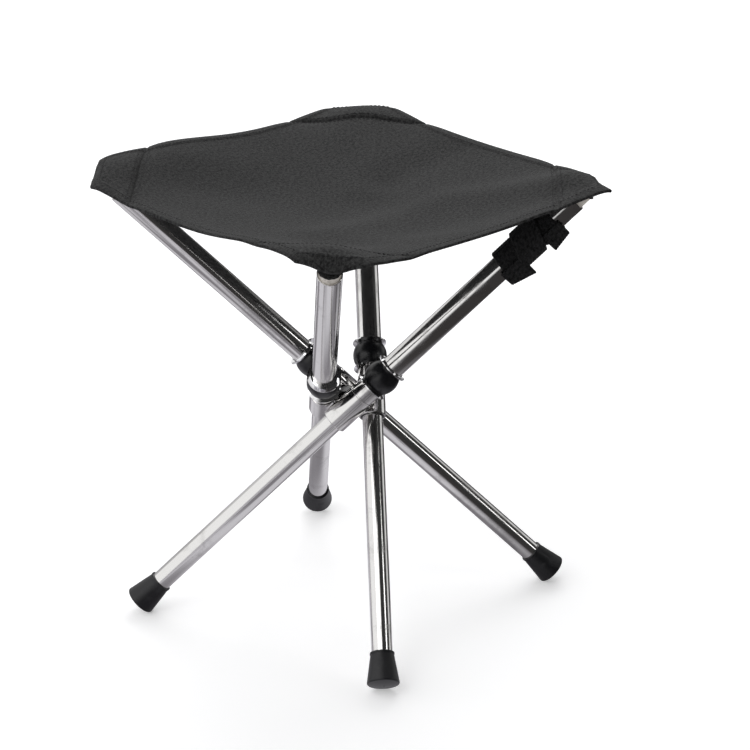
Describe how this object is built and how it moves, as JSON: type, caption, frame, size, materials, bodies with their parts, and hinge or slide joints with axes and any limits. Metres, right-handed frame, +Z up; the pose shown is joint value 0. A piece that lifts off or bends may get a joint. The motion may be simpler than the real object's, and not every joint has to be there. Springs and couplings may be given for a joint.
{
  "type": "camp stool",
  "caption": "Folding camp stool with crossed telescopic steel legs on a small hub, ball bumpers, rubber feet and a square woven cloth seat.",
  "frame": {"origin": "on the floor, under the middle of the hub", "axes": "+Z up; the left leg's top leans towards -X and its foot stands at +X"},
  "size_m": [0.391, 0.391, 0.3603],
  "materials": {
    "polished_steel": "polished stainless tube with faint draw lines",
    "chrome_ring": "bright pressed washer",
    "ball_rubber": "satin moulded",
    "foot_rubber": "matte moulded",
    "black_nylon": "moulded",
    "pale_nylon": "natural nylon, moulded",
    "seat_cloth": "close woven polyester",
    "strap_webbing": "ribbed webbing"
  },
  "bodies": {
    "hub": {"hub_block": "black_nylon", "hub_pivot_pins": "polished_steel"},
    "left_leg": {"left_upper_tube": "polished_steel", "left_pivot_collar": "polished_steel", "left_spacer_sleeve": "polished_steel", "left_lower_flange": "chrome_ring", "left_ball_bumper": "ball_rubber", "left_upper_flange": "chrome_ring", "left_mouth_bush": "black_nylon", "left_top_plug": "pale_nylon", "left_corner_pocket": "seat_cloth"},
    "left_lower_leg": {"left_lower_tube": "polished_steel", "left_guide_bush": "black_nylon", "left_foot_cap": "foot_rubber"},
    "left_seat": {"left_seat_quarter": "seat_cloth"},
    "front_leg": {"front_upper_tube": "polished_steel", "front_pivot_collar": "polished_steel", "front_spacer_sleeve": "polished_steel", "front_lower_flange": "chrome_ring", "front_ball_bumper": "ball_rubber", "front_upper_flange": "chrome_ring", "front_mouth_bush": "black_nylon", "front_top_plug": "pale_nylon", "front_corner_pocket": "seat_cloth"},
    "front_lower_leg": {"front_lower_tube": "polished_steel", "front_guide_bush": "black_nylon", "front_foot_cap": "foot_rubber"},
    "front_seat": {"front_seat_quarter": "seat_cloth"},
    "right_leg": {"right_upper_tube": "polished_steel", "right_pivot_collar": "polished_steel", "right_spacer_sleeve": "polished_steel", "right_lower_flange": "chrome_ring", "right_ball_bumper": "ball_rubber", "right_upper_flange": "chrome_ring", "right_mouth_bush": "black_nylon", "right_top_plug": "pale_nylon", "right_corner_pocket": "seat_cloth", "strap_lower_wrap": "strap_webbing", "strap_upper_wrap": "strap_webbing", "strap_lower_tail": "strap_webbing", "strap_upper_tail": "strap_webbing"},
    "right_lower_leg": {"right_lower_tube": "polished_steel", "right_guide_bush": "black_nylon", "right_foot_cap": "foot_rubber"},
    "right_seat": {"right_seat_quarter": "seat_cloth"},
    "back_leg": {"back_upper_tube": "polished_steel", "back_pivot_collar": "polished_steel", "back_spacer_sleeve": "polished_steel", "back_lower_flange": "chrome_ring", "back_ball_bumper": "ball_rubber", "back_upper_flange": "chrome_ring", "back_mouth_bush": "black_nylon", "back_top_plug": "pale_nylon", "back_corner_pocket": "seat_cloth"},
    "back_lower_leg": {"back_lower_tube": "polished_steel", "back_guide_bush": "black_nylon", "back_foot_cap": "foot_rubber"},
    "back_seat": {"back_seat_quarter": "seat_cloth"}
  },
  "joints": [
    {"name": "left_leg_fold", "type": "hinge", "parent": "hub", "child": "left_leg", "pos_m": [0, 0.0194, 0.17286], "axis": [0, 1, 0], "range_deg": [0, 45.7]},
    {"name": "left_leg_slide", "type": "slide", "parent": "left_leg", "child": "left_lower_leg", "axis": [-0.7157, 0, 0.6984], "range_m": [0, 0.18]},
    {"name": "left_seat_fold", "type": "hinge", "parent": "left_leg", "child": "left_seat", "pos_m": [-0.17639, 0.0194, 0.36051], "axis": [0, 1, 0], "range_deg": [0, 33], "deforming": ["left_seat_quarter"]},
    {"name": "front_leg_fold", "type": "hinge", "parent": "hub", "child": "front_leg", "pos_m": [-0.0194, 0, 0.17286], "axis": [-1, 0, 0], "range_deg": [0, 45.7]},
    {"name": "front_leg_slide", "type": "slide", "parent": "front_leg", "child": "front_lower_leg", "axis": [0, -0.7157, 0.6984], "range_m": [0, 0.18]},
    {"name": "front_seat_fold", "type": "hinge", "parent": "front_leg", "child": "front_seat", "pos_m": [-0.0194, -0.17639, 0.36051], "axis": [-1, 0, 0], "range_deg": [0, 33], "deforming": ["front_seat_quarter"]},
    {"name": "right_leg_fold", "type": "hinge", "parent": "hub", "child": "right_leg", "pos_m": [0, -0.0194, 0.17286], "axis": [0, -1, 0], "range_deg": [0, 45.7]},
    {"name": "right_leg_slide", "type": "slide", "parent": "right_leg", "child": "right_lower_leg", "axis": [0.7157, 0, 0.6984], "range_m": [0, 0.18]},
    {"name": "right_seat_fold", "type": "hinge", "parent": "right_leg", "child": "right_seat", "pos_m": [0.17639, -0.0194, 0.36051], "axis": [0, -1, 0], "range_deg": [0, 33], "deforming": ["right_seat_quarter"]},
    {"name": "back_leg_fold", "type": "hinge", "parent": "hub", "child": "back_leg", "pos_m": [0.0194, 0, 0.17286], "axis": [1, 0, 0], "range_deg": [0, 45.7]},
    {"name": "back_leg_slide", "type": "slide", "parent": "back_leg", "child": "back_lower_leg", "axis": [0, 0.7157, 0.6984], "range_m": [0, 0.18]},
    {"name": "back_seat_fold", "type": "hinge", "parent": "back_leg", "child": "back_seat", "pos_m": [0.0194, 0.17639, 0.36051], "axis": [1, 0, 0], "range_deg": [0, 33], "deforming": ["back_seat_quarter"]}
  ],
  "couplings": [
    {"joint": "left_seat_fold", "follows": "left_leg_fold", "ratio": 0.7221},
    {"joint": "front_leg_fold", "follows": "left_leg_fold", "ratio": 1},
    {"joint": "front_seat_fold", "follows": "left_leg_fold", "ratio": 0.7221},
    {"joint": "right_leg_fold", "follows": "left_leg_fold", "ratio": 1},
    {"joint": "right_seat_fold", "follows": "left_leg_fold", "ratio": 0.7221},
    {"joint": "back_leg_fold", "follows": "left_leg_fold", "ratio": 1},
    {"joint": "back_seat_fold", "follows": "left_leg_fold", "ratio": 0.7221}
  ]
}
